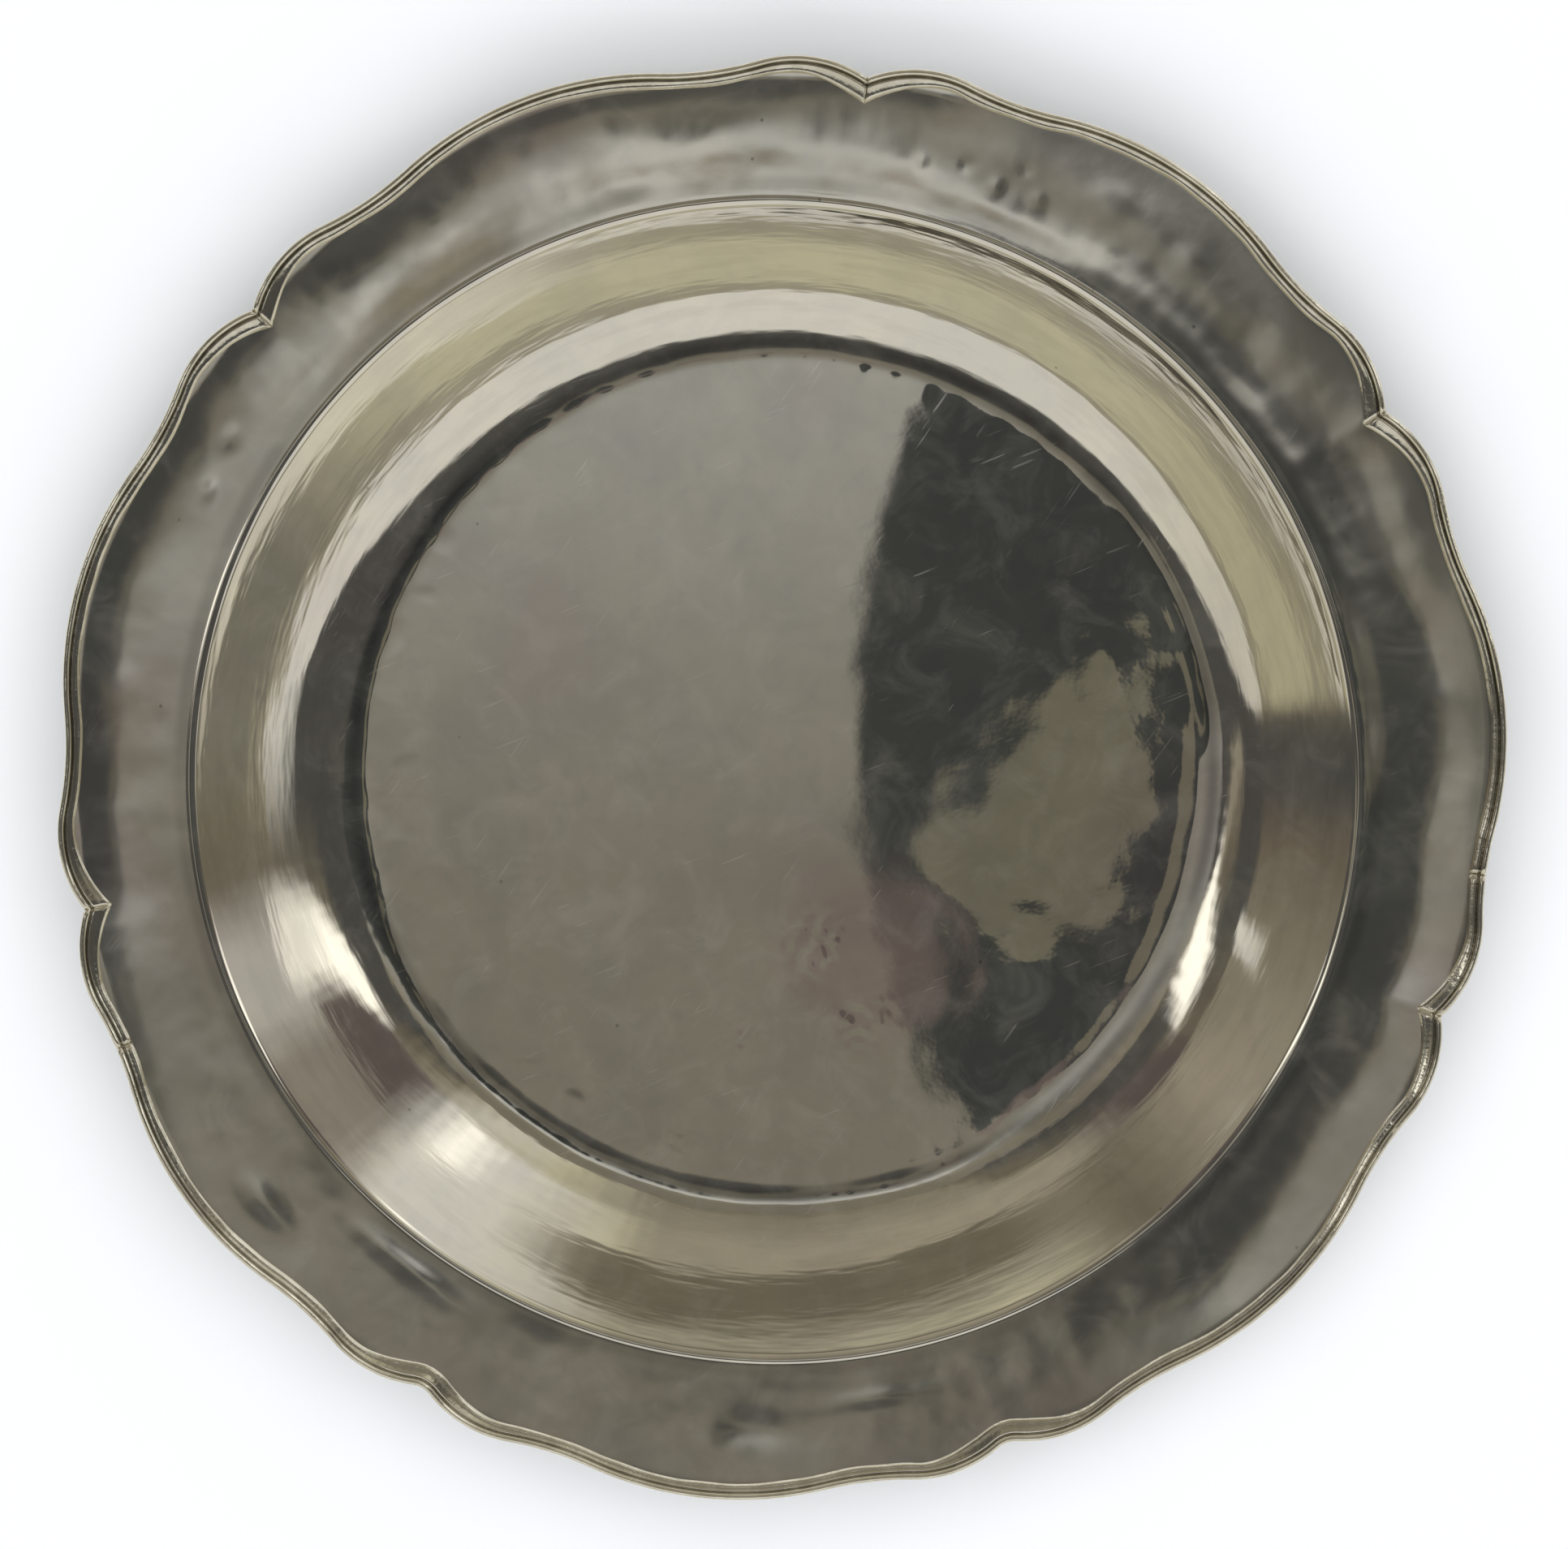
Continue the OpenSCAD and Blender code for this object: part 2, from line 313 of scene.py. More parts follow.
LENGTHS = [
    whole_lobe(0),
    [first_shoulder(1), first_hollow(1), crest(1), before_seam(1)],
    [after_seam(1), last_shoulder(1)],
    [
        first_shoulder(2), first_hollow(2), crest(2), last_hollow(2), last_shoulder(2, soft=True),
        soft_notch(3),
        first_shoulder(3, soft=True), first_hollow(3), crest(3), last_hollow(3), last_shoulder(3, soft=True),
        soft_notch(4),
        first_shoulder(4, soft=True), first_hollow(4), crest(4), before_seam(4),
    ],
    [after_seam(4), last_shoulder(4)],
    whole_lobe(5),
    whole_lobe(6),
]


def outline_radius(inside):
    """Radius of the rim about the axis of the well, by bearing."""
    points = []
    for arcs in LENGTHS:
        for arc in arcs:
            steps = arc.stations()
            points += [arc.point(k / steps, inside) for k in range(steps)]
    points = np.array(points)
    bearings = np.degrees(np.arctan2(points[:, 0], points[:, 1])) % 360
    order = np.argsort(bearings)
    radii = np.hypot(points[:, 0], points[:, 1])
    return lambda bearing: np.interp(bearing, bearings[order], radii[order], period=360)


rim_radius = outline_radius(RIM_INSET)
sheet_radius = outline_radius(RIM_INSET + OVERHANG)


def soft_rim_radius(bearing):
    """The rim without the corners of its notches."""
    return sum(rim_radius(bearing + turn) for turn in (-6, -4, -2, 0, 2, 4, 6)) / 7


# Unevenness left by the hammer, as heights times noise of a length, in millimetres

def rough(u, v, w):
    """Smooth noise between about -1 and 1, with bumps about one unit wide."""
    u, v, w = np.broadcast_arrays(u, v, w)
    values = [noise.noise(spot) for spot in zip(u.ravel(), v.ravel(), w.ravel())]
    return np.reshape(values, u.shape)


def smooth(value, low, high):
    """Soft step from 0 at low to 1 at high."""
    share = np.clip((value - low) / (high - low), 0, 1)
    return share * share * (3 - 2 * share)


def bell(value, middle, half):
    """Soft bump of height 1 around a middle."""
    return np.exp(-((value - middle) / half) ** 2)


def facing(bearing, middle, low, high):
    """1 around a bearing and 0 away from it, with limits on the cosine of the angle between."""
    return smooth(np.cos(np.radians(bearing - middle)), low, high)


# Low bumps in the flange: bearing, radius, half length outwards, half length around and height
BUMPS = [
    (13, 166, 2.2, 1.5, 0.05),
    (17, 168, 2.0, 1.6, -0.06),
    (20, 165, 2.4, 2.0, 0.07),
    (24, 166, 2.0, 2.2, 0.05),
    (22, 172, 1.6, 1.4, -0.05),
    (302, 168, 2.5, 3.5, 0.13),
    (297, 166, 2.0, 3.0, 0.10),
    (230, 176, 4.0, 9.0, 0.16),
    (218, 161, 3.0, 14.0, 0.20),
    (171, 165, 2.5, 14.0, 0.10),
    (182, 172, 5.0, 9.0, -0.20),
]

# Crumpled spots of the well: place and radius
CRUMPLES = [(9, -46, 7), (20, -66, 6), (-12, -73, 7), (-65, -47, 4), (-29, -96, 6)]


def bumps(x, y):
    """Height of the low bumps in the flange."""
    total = np.zeros_like(x)
    for bearing, radius, outwards, around, height in BUMPS:
        out_x, out_y = at_bearing(1.0, bearing)
        along = x * out_x + y * out_y - radius
        across = x * out_y - y * out_x
        total += height * np.exp(-(along / outwards) ** 2 - (across / around) ** 2)
    return total


def well_unevenness(x, y):
    """Very slight: the well is nearly a flat mirror, livelier on its right and crumpled in spots."""
    lively = 1 + 3.2 * smooth(x, 20, 65)
    broad = 0.010 * rough(x / 55, y / 55, 1.5)
    middle = 0.0030 * rough(x / 11, y / 11, 2.5)
    fine = 0.0006 * rough(x / 6, y / 6, 3.0) + 0.0004 * rough(x / 4.5, y / 4.5, 3.5)
    crumpled = sum(bell(np.hypot(x - at_x, y - at_y), 0, half) for at_x, at_y, half in CRUMPLES)
    return broad + lively * middle + (lively - 0.7) * fine + 0.02 * crumpled * rough(x / 3.4, y / 1.9, 8.5)


def edge_unevenness(radius, bearing):
    """Hammer marks along the edge of the well, which is creased at its bottom and soft on its right."""
    x, y = at_bearing(WELL_R, bearing)
    on_left = facing(bearing, 250, 0.2, 0.7)
    dents = np.maximum(0, rough(x / 9, y / 9, radius / 8 + 3) - 0.22) * bell(radius, 104, 7) * on_left
    on_right = facing(bearing, 118, 0.80, 0.95)
    at_bottom = facing(bearing, 195, 0.70, 0.90)
    at_top = facing(bearing, 345, 0.2, 0.8)
    strength = 0.016 * (1 - 0.8 * on_right) * (1 + 0.6 * at_top)
    marks = strength * rough(x / 7, y / 7, radius / 9) * bell(radius, WELL_R, 7)
    crisp = (1 - facing(bearing, 330, -0.1, 0.5)) * (1 - on_right)
    fade = 1 - smooth(radius, 118, 146)
    later = smooth(radius, flat_r + 0.7, ease_end[0]) * fade
    early = smooth(radius, flat_r - 4, flat_r + 4) * fade
    loss = (EASE_LOSS * crisp + CREASE_LOSS * at_bottom) * later
    return marks - 0.06 * dents - loss + EARLY_RISE * on_right * early


def wall_unevenness(radius, bearing):
    """Brushed along the wall, and stronger in its lower half, towards -Y."""
    x, y = at_bearing(WALL_TOP_R, bearing)
    strength = 1 + 1.4 * smooth(y, -20, -90)
    wide = 0.045 * rough(x / 26, y / 26, radius / 14)
    brushed = 0.007 * rough(x / 22, y / 22, radius / 2.4 + 9)
    streaks = 0.005 * rough(x / 3.6, y / 3.6, radius / 16 + 4)
    return strength * (wide + streaks) + brushed


def flange_unevenness(x, y):
    """Broad and finer waves of the flange, which is hollow on the right and at the corner above it."""
    bearing = np.degrees(np.arctan2(x, y))
    around_x, around_y = at_bearing(WALL_TOP_R, bearing)
    broad = 0.22 * rough(x / 46, y / 46, 4.5)
    middle = 0.13 * rough(x / 22, y / 22, 5.5)
    fine = 0.03 * rough(x / 9, y / 9, 6.5) + 0.008 * rough(x / 4, y / 4, 9.5)
    streaks = 0.015 * rough(around_x / 5, around_y / 5, np.hypot(x, y) / 18)
    on_right = facing(bearing, 90, 0.70, 0.92)
    at_corner = facing(bearing, 38, 0.80, 0.94)
    radius = np.hypot(x, y)
    hollow = on_right * bell(radius, 171, 9) + at_corner * bell(radius, 164, 6.5)
    waves = (1 - 0.3 * on_right) * broad + (1 + 0.2 * on_right - 0.3 * at_corner) * middle
    return waves + fine + streaks - FLANGE_HOLLOW * hollow


def rim_sag(x, y):
    """How far the rim lies below its level seat: never above it."""
    return RIM_SAG * (0.5 + 0.5 * rough(x / 60, y / 60, 7.5)) + RIM_DROP


def curl_height(bearing):
    """The edge turns up most at the top and the left, and little on the right and at the bottom."""
    low = facing(bearing, 190, 0.2, 0.9)
    right = facing(bearing, 75, 0.3, 0.9)
    corner = facing(bearing, 43, 0.85, 0.95)
    return CURL_H * (1 - 0.9 * low) * (1 - 0.78 * right) * (1 - 0.9 * corner)


def flange_height(x, y):
    """Height of the upper face of the flange."""
    bearing = np.degrees(np.arctan2(x, y))
    inside = rim_radius(bearing) - np.hypot(x, y)
    past_arris = np.hypot(x - ARRIS_SHIFT[0], y - ARRIS_SHIFT[1]) - hollow_end[0]
    curl = curl_height(bearing)
    climb = np.clip(past_arris / (past_arris + inside - MOULDING_W), 0, 1)
    sag = rim_sag(x, y)
    level = hollow_end[1] + (SEAT_Z - sag - curl - hollow_end[1]) * climb
    rise = np.clip(1 - (soft_rim_radius(bearing) - np.hypot(x, y) - MOULDING_W) / CURL_W, 0, 1.1)
    away = smooth(inside, MOULDING_W, MOULDING_W + 14) * smooth(past_arris, 0, 8)
    return level + curl * np.minimum(rise * rise, 1.0) + (flange_unevenness(x, y) + bumps(x, y)) * away


def ring_centre(radius):
    """The rings lie about the well's own centre, and further out about the arris's."""
    share = min(1.0, max(0.0, (radius - WELL_R) / WALL_W))
    return WELL_SHIFT + (ARRIS_SHIFT - WELL_SHIFT) * share


def sheet_rings(depth, counts, flange_count):
    """Points of one face of the sheet, ring by ring from the middle outwards."""
    rings = []
    bearings = 360 * np.arange(ANGLES) / ANGLES
    for radius, height, slope in profile_rings(depth, *counts):
        lean = math.radians(slope)
        centre = ring_centre(radius)
        x, y = at_bearing(radius, bearings)
        in_well = smooth(radius, WELL_R + 6, WELL_R - 4)
        past_crest = smooth(radius, arris_centre[0] - 3, arris_centre[0])
        bump = well_unevenness(x, y) * in_well + wall_unevenness(radius, bearings) * (1 - in_well)
        bump += edge_unevenness(radius, bearings)
        bump = bump * (1 - past_crest)
        x, y = at_bearing(radius - bump * math.sin(lean), bearings)
        rings.append(np.stack([x + centre[0], y + centre[1], height + bump * math.cos(lean)], 1))
    inner = at_bearing(hollow_end[0], bearings) + ARRIS_SHIFT[:, None]
    outer = at_bearing(sheet_radius(bearings), bearings)
    for k in range(flange_count + 1):
        x, y = inner + (outer - inner) * k / flange_count
        rings.append(np.stack([x, y, flange_height(x, y) - depth], 1))
    return np.array(rings)


def mesh_piece(name, points, faces, material):
    """A smooth mesh from points in millimetres."""
    mesh = bpy.data.meshes.new(name)
    mesh.from_pydata((np.asarray(points) * MM).tolist(), [], faces)
    mesh.polygons.foreach_set("use_smooth", [True] * len(mesh.polygons))
    mesh.materials.append(material)
    mesh.update()
    piece = bpy.data.objects.new(name, mesh)
    bpy.context.scene.collection.objects.link(piece)
    return piece


def make_sheet(material):
    """The sheet as two faces of rings, closed at their edges."""
    upper = sheet_rings(0.0, FACE_RINGS, FACE_FLANGE_RINGS)
    lower = sheet_rings(SHEET_T, BACK_RINGS, BACK_FLANGE_RINGS)
    lower[:, :, 2] = np.maximum(lower[:, :, 2], 0.0)
    points = [(*WELL_SHIFT, floor_z)]
    points += upper.reshape(-1, 3).tolist()
    under = len(points)
    points.append((*WELL_SHIFT, 0.0))
    points += lower.reshape(-1, 3).tolist()
    faces = []

    def index(start, ring, k):
        return start + 1 + ring * ANGLES + k % ANGLES

    for start, count, up in ((0, len(upper), True), (under, len(lower), False)):
        for k in range(ANGLES):
            face = [start, index(start, 0, k + 1), index(start, 0, k)]
            faces.append(face if up else face[::-1])
        for ring in range(count - 1):
            for k in range(ANGLES):
                face = [index(start, ring, k), index(start, ring, k + 1)]
                face += [index(start, ring + 1, k + 1), index(start, ring + 1, k)]
                faces.append(face if up else face[::-1])
    last_up = len(upper) - 1
    last_low = len(lower) - 1
    for k in range(ANGLES):
        face = [index(0, last_up, k), index(0, last_up, k + 1)]
        face += [index(under, last_low, k + 1), index(under, last_low, k)]
        faces.append(face)
    return mesh_piece("dish_sheet", points, faces, material)


# Moulding of the rim

def moulding_section():
    """Distance inside the rim, height above the flange, depth of shade and share of the inner edge."""
    radius = BEAD_W / 2
    foot = 210
    section = [(radius * (1 + math.cos(math.radians(foot))), 0.0, 0.5, 0.0)]
    for k in range(13):
        turn = math.radians(foot * (1 - k / 12))
        height = BEAD_H - radius * (1 - math.sin(turn))
        section.append((radius * (1 + math.cos(turn)), height, 0.0 if k < 11 else 0.6, 0.0))
    section.append((BEAD_W + GROOVE_W * 0.4, GROOVE_FLOOR_H, 0.8, 0.0))
    section.append((BEAD_W + GROOVE_W * 0.7, GROOVE_FLOOR_H + 0.05, 0.8, 0.0))
    for k in range(7):
        share = k / 6
        inside = BEAD_W + GROOVE_W + (FILLET_W - LIP_W) * share
        height = FILLET_H + (LIP_H - FILLET_H) * share - FILLET_HOLLOW * math.sin(math.pi * share)
        section.append((inside, height, 0.5 if k == 0 else 0.25, share))
    for outwards, share in ((0.75, 0.85), (0.45, 0.55), (0.1, 0.2), (-0.25, -0.15)):
        section.append((MOULDING_W - LIP_W * outwards, LIP_H * share, 0.0, 1.0))
    return section


def notch_distance(bearing):
    """Bearing between a point of the rim and the nearest notch."""
    return min(abs((bearing - notch + 180) % 360 - 180) for notch in NOTCH_BEARINGS)


def make_moulding(number, arcs, material):
    """One length of wire: its section carried along the arcs, filed lower at both ends."""
    section = moulding_section()
    stations = []
    for n, arc in enumerate(arcs):
        steps = arc.stations()
        stations += [(arc, k / steps) for k in range(0 if n == 0 else 1, steps + 1)]
    points = []
    shade = []
    last = len(stations) - 1
    for s, (arc, share) in enumerate(stations):
        middle = arc.point(share, MOULDING_W / 2)
        wobble = noise.noise((middle[0] / 9, middle[1] / 9, 11.5))
        wear = noise.noise((middle[0] / 5, middle[1] / 5, 12.5))
        near_notch = smooth(notch_distance(bearing_of(middle)), NOTCH_FILLET_ANGLE, 1.0)
        widening = NOTCH_FILLET * near_notch + WIRE_WOBBLE * wobble
        filed = FILED_END if s in (0, last) else 1.0
        for inside, height, dark, inner in section:
            plan = arc.point(share, inside + RIM_INSET + inner * widening)
            base = SEAT_Z - float(rim_sag(*plan)) - WIRE_SINK
            lift = height * filed * (1 + WIRE_WEAR * wear) if height > 0 else height
            points.append((plan[0], plan[1], base + lift - WIDE_SINK * inner * max(0.0, widening)))
            shade.append(dark)
    sides = len(section)
    faces = []
    for ring in range(last):
        for side in range(sides):
            a = ring * sides + side
            b = ring * sides + (side + 1) % sides
            faces.append([a, a + sides, b + sides, b])
    faces.append(list(range(sides)))
    faces.append([last * sides + side for side in range(sides - 1, -1, -1)])
    piece = mesh_piece("moulding_%d" % number, points, faces, material)
    layer = piece.data.attributes.new("shade", "FLOAT", "POINT")
    layer.data.foreach_set("value", shade)
    return piece


# Materials

class Tree:
    """Adds nodes to a shader tree and links them."""

    def __init__(self, tree):
        self.tree = tree
        tree.nodes.clear()

    def feed(self, socket, value):
        if isinstance(value, bpy.types.NodeSocket):
            self.tree.links.new(value, socket)
        elif isinstance(value, (tuple, list)) and len(value) == 3 and socket.type == "RGBA":
            socket.default_value = (*value, 1.0)
        else:
            socket.default_value = value

    def node(self, kind, inputs=None, **settings):
        made = self.tree.nodes.new(kind)
        for name, value in settings.items():
            setattr(made, name, value)
        for key, value in (inputs or {}).items():
            self.feed(made.inputs[key], value)
        return made

    def math(self, operation, *values):
        return self.node("ShaderNodeMath", dict(enumerate(values)), operation=operation).outputs[0]

    def step(self, value, low, high, out_low=0.0, out_high=1.0):
        """Soft step of a value, from out_low to out_high."""
        inputs = {0: value, 1: low, 2: high, 3: out_low, 4: out_high}
        return self.node("ShaderNodeMapRange", inputs, interpolation_type="SMOOTHSTEP").outputs[0]

    def both(self, *values):
        """Product of masks: where all of them hold."""
        result = values[0]
        for value in values[1:]:
            result = self.math("MULTIPLY", result, value)
        return result

    def mix(self, factor, first, second, blend="MIX"):
        inputs = {0: factor, 6: first, 7: second}
        return self.node("ShaderNodeMix", inputs, data_type="RGBA", blend_type=blend).outputs[2]

    def noise(self, vector, size, detail=3.0, rough=0.55, bend=0.0):
        """Soft pattern with patches of about a size."""
        inputs = {"Vector": vector, "Scale": 1 / size, "Detail": detail, "Roughness": rough}
        inputs["Distortion"] = bend
        return self.node("ShaderNodeTexNoise", inputs).outputs[0]

    def cells(self, vector, size):
        inputs = {"Vector": vector, "Scale": 1 / size}
        return self.node("ShaderNodeTexVoronoi", inputs).outputs["Distance"]

    def turned(self, vector, angle, stretch):
        """Place for a pattern that is turned and drawn out along its own Y."""
        inputs = {"Vector": vector, "Rotation": (0, 0, math.radians(angle)), "Scale": (1.0, stretch, 1.0)}
        return self.node("ShaderNodeMapping", inputs, vector_type="TEXTURE").outputs[0]

    def distance(self, x, y, at_x=0.0, at_y=0.0):
        """Plan distance from a point."""
        square_x = self.math("POWER", self.math("SUBTRACT", x, at_x), 2.0)
        square_y = self.math("POWER", self.math("SUBTRACT", y, at_y), 2.0)
        return self.math("SQRT", self.math("ADD", square_x, square_y))

    def ramp(self, value, span, stops):
        """Colours by a value, each stop a place between the ends of the span and a colour."""
        share = self.node("ShaderNodeMapRange", {0: value, 1: span[0], 2: span[1]}).outputs[0]
        made = self.node("ShaderNodeValToRGB", {0: share})
        elements = made.color_ramp.elements
        while len(elements) < len(stops):
            elements.new(0.5)
        for element, (place, colour) in zip(elements, stops):
            element.position = (place - span[0]) / (span[1] - span[0])
            element.color = (*colour, 1.0)
        return made.outputs[0]


# Tones of the metal, and of the tarnish and painted shade in its corners
SILVER = (0.66, 0.62, 0.52)
DULL_SILVER = (0.60, 0.57, 0.49)
GREY_SILVER = (0.54, 0.52, 0.48)
ROSY_SILVER = (0.60, 0.52, 0.47)
WORN_SILVER = (0.50, 0.47, 0.40)
SCRATCH = (0.85, 0.83, 0.78)
# Dark tone for the pits, and for painted shade in the crease round the well
SOOT_AND_SHADE = (0.16, 0.15, 0.13)
# Painted shade, with some tarnish, at the foot of the arris
ARRIS_GRIME_AND_SHADE = (0.22, 0.20, 0.16)
WIRE_SILVER = (0.72, 0.68, 0.57)
DULL_WIRE = (0.62, 0.58, 0.47)
# Painted shade, with some tarnish, in the groove and hollows of the wire
WIRE_GRIME_AND_SHADE = (0.20, 0.18, 0.13)

# Sizes of the patterns on the metal, in metres
CLOUD_SIZE = 0.034
FLECK_SIZE = 0.006
BLUSH_SIZE = 0.07
PIT_SPACING = 0.011
HAZE_SIZE = 0.016
GRAIN_SIZE = 0.0022
GRAIN_HEIGHT = 0.00004
STREAK_HEIGHT = 0.00007
WIRE_WEAR_SIZE = 0.006
WIRE_GRAIN_SIZE = 0.0016
WIRE_GRAIN_HEIGHT = 0.0003
SCRATCH_WIDTH = 0.0007
SCRATCH_PATCH = 0.013

# How far scratches and their patches are drawn out, and their directions in degrees
SCRATCH_STRETCH = 20.0
SCRATCH_PATCH_STRETCH = 2.0
SCRATCH_ANGLES = (-68, -35)

# Streaks along the wall: how many to a radian around and to a metre outwards
STREAKS_AROUND = 6.0
STREAKS_OUTWARDS = 320.0


def new_material(name):
    material = bpy.data.materials.new(name)
    material.use_nodes = True
    return material, Tree(material.node_tree)


def raised(t, strength, height, pattern, **inputs):
    """Normal of a pattern that stands up by a height."""
    inputs.update({"Strength": strength, "Distance": height, "Height": pattern})
    return t.node("ShaderNodeBump", inputs).outputs[0]


def finish_metal(t, colour, roughness, metallic, normal):
    inputs = {"Base Color": colour, "Roughness": roughness, "Metallic": metallic, "Normal": normal}
    metal = t.node("ShaderNodeBsdfPrincipled", inputs).outputs[0]
    t.node("ShaderNodeOutputMaterial", {"Surface": metal})


def scratches(t, place, angle):
    """Thin straight lines, scattered along one direction."""
    lines = t.noise(t.turned(place, angle, SCRATCH_STRETCH), SCRATCH_WIDTH, 1.0, 0.6, 0.15)
    where = t.noise(t.turned(place, angle, SCRATCH_PATCH_STRETCH), SCRATCH_PATCH, 1.0)
    return t.both(t.step(lines, 0.67, 0.73), t.step(where, 0.52, 0.66))


def wall_streaks(t, place, across):
    """A pattern drawn out around the dish."""
    turn = t.node("ShaderNodeVectorMath", {0: place}, operation="NORMALIZE").outputs[0]
    around = t.node("ShaderNodeVectorMath", {0: turn, "Scale": STREAKS_AROUND}, operation="SCALE").outputs[0]
    outwards = t.math("MULTIPLY", across, STREAKS_OUTWARDS)
    out = t.node("ShaderNodeCombineXYZ", {2: outwards}).outputs[0]
    return t.noise(t.node("ShaderNodeVectorMath", {0: around, 1: out}).outputs[0], 1.0, 2.0, 0.6)


def silver_sheet():
    """Old silver, clouded, with tarnish and painted shade in the crease round the well and at the foot of
    the arris, and a clearer mirror in the well.
    """
    material, t = new_material("old_silver_sheet")
    place = t.node("ShaderNodeTexCoord").outputs["Object"]
    x, y, _ = t.node("ShaderNodeSeparateXYZ", {0: place}).outputs
    across = t.distance(x, y)
    from_well = t.distance(x, y, *(WELL_SHIFT * MM))

    cloud = t.noise(place, CLOUD_SIZE, 3.0, 0.6, 0.4)
    fleck = t.noise(place, FLECK_SIZE, 3.0, 0.6)
    blush = t.noise(place, BLUSH_SIZE, 1.0, 0.5)
    colour = t.mix(t.step(cloud, 0.38, 0.66), SILVER, DULL_SILVER)
    colour = t.mix(t.step(fleck, 0.50, 0.75, 0.0, 0.35), colour, GREY_SILVER)
    colour = t.mix(t.step(blush, 0.52, 0.75, 0.0, 0.5), colour, ROSY_SILVER)

    # Painted shade, with some tarnish: a dark line in the crease round the edge of the well
    well_crease_shade = t.both(t.step(from_well, 0.1100, 0.1130), t.step(from_well, 0.1165, 0.1132))
    colour = t.mix(t.both(well_crease_shade, t.step(cloud, 0.3, 0.6, 0.25, 0.6)), colour, SOOT_AND_SHADE)
    # Painted shade, with some tarnish: a dark band at the foot of the arris
    arris_foot_shade = t.both(t.step(across, 0.1535, 0.1550), t.step(across, 0.1590, 0.1560))
    colour = t.mix(t.both(arris_foot_shade, t.step(cloud, 0.3, 0.6, 0.1, 0.35)), colour, ARRIS_GRIME_AND_SHADE)
    pits = t.both(t.step(t.cells(place, PIT_SPACING), 0.055, 0.03), t.step(cloud, 0.50, 0.60))
    colour = t.mix(t.math("MULTIPLY", pits, 0.6), colour, SOOT_AND_SHADE)

    first, second = (scratches(t, place, angle) for angle in SCRATCH_ANGLES)
    lines = t.both(t.math("MAXIMUM", first, second), t.step(across, 0.150, 0.112, 0.25, 1.0))
    colour = t.mix(t.math("MULTIPLY", lines, 0.16), colour, SCRATCH)
    streaks = wall_streaks(t, place, across)
    on_wall = t.both(t.step(from_well, 0.112, 0.122), t.step(across, 0.156, 0.150))
    colour = t.mix(t.both(on_wall, t.step(streaks, 0.42, 0.66, 0.0, 0.32)), colour, WORN_SILVER)

    haze = t.step(t.noise(place, HAZE_SIZE, 4.0, 0.65, 0.8), 0.42, 0.78, 0.0, 0.06)
    haze = t.math("ADD", haze, t.math("MULTIPLY", lines, 0.05))
    roughness = t.step(from_well, 0.106, 0.122, 0.009, 0.055)
    roughness = t.math("ADD", roughness, t.step(across, 0.152, 0.158, 0.0, 0.03))
    roughness = t.math("ADD", roughness, t.step(cloud, 0.35, 0.75, 0.0, 0.012))
    roughness = t.math("ADD", roughness, t.math("MULTIPLY", lines, 0.06))

    grain = t.noise(place, GRAIN_SIZE, 1.0, 0.5)
    right_of_well = t.step(x, 0.030, 0.055, 0.007, 0.030)
    relief = t.math("MAXIMUM", t.step(from_well, 0.104, 0.122, 0.0, 0.04), right_of_well)
    normal = raised(t, relief, GRAIN_HEIGHT, grain)
    normal = raised(t, on_wall, STREAK_HEIGHT, streaks, Normal=normal)
    finish_metal(t, colour, roughness, t.math("SUBTRACT", 1.0, haze), normal)
    return material


def silver_moulding():
    """Worn wire, with tarnish and painted shade where the mesh is shaded, less of it towards -Y."""
    material, t = new_material("old_silver_moulding")
    place = t.node("ShaderNodeTexCoord").outputs["Object"]
    y = t.node("ShaderNodeSeparateXYZ", {0: place}).outputs[1]
    shade = t.node("ShaderNodeAttribute", attribute_name="shade").outputs["Fac"]
    wear = t.noise(place, WIRE_WEAR_SIZE, 3.0, 0.6)
    colour = t.mix(t.step(wear, 0.35, 0.65), WIRE_SILVER, DULL_WIRE)
    # Painted shade, with some tarnish, in the groove and at the foot of the bead, by the shade attribute,
    # weaker towards -Y
    grime_and_shade = t.both(shade, t.step(wear, 0.25, 0.6, 0.65, 1.0), t.step(y, -0.12, 0.05, 0.35, 1.0))
    colour = t.mix(grime_and_shade, colour, WIRE_GRIME_AND_SHADE)
    roughness = t.step(wear, 0.3, 0.7, 0.08, 0.16)
    grain = t.noise(place, WIRE_GRAIN_SIZE, 2.0, 0.6)
    finish_metal(t, colour, roughness, 1.0, raised(t, 0.15, WIRE_GRAIN_HEIGHT, grain))
    return material


sheet_material = silver_sheet()
moulding_material = silver_moulding()

sheet = make_sheet(sheet_material)
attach(sheet, "root")
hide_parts("dish")

for number, arcs in enumerate(LENGTHS, 1):
    moulding = make_moulding(number, arcs, moulding_material)
    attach(moulding, "root")
    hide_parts("rim_moulding_%d" % number)


# Studio

FLOOR_SIZE = 60.0
FLOOR_DROP = 0.0004
FLOOR_TONE = (0.93, 0.93, 0.93)
FLOOR_LIFT = (0.02, 0.03, 0.05)
FILL_SIZE = 6.0
FILL_HEIGHT = 3.2
FILL_LEVEL = 1.1
FILL_TONE = (0.96, 0.99, 1.05)


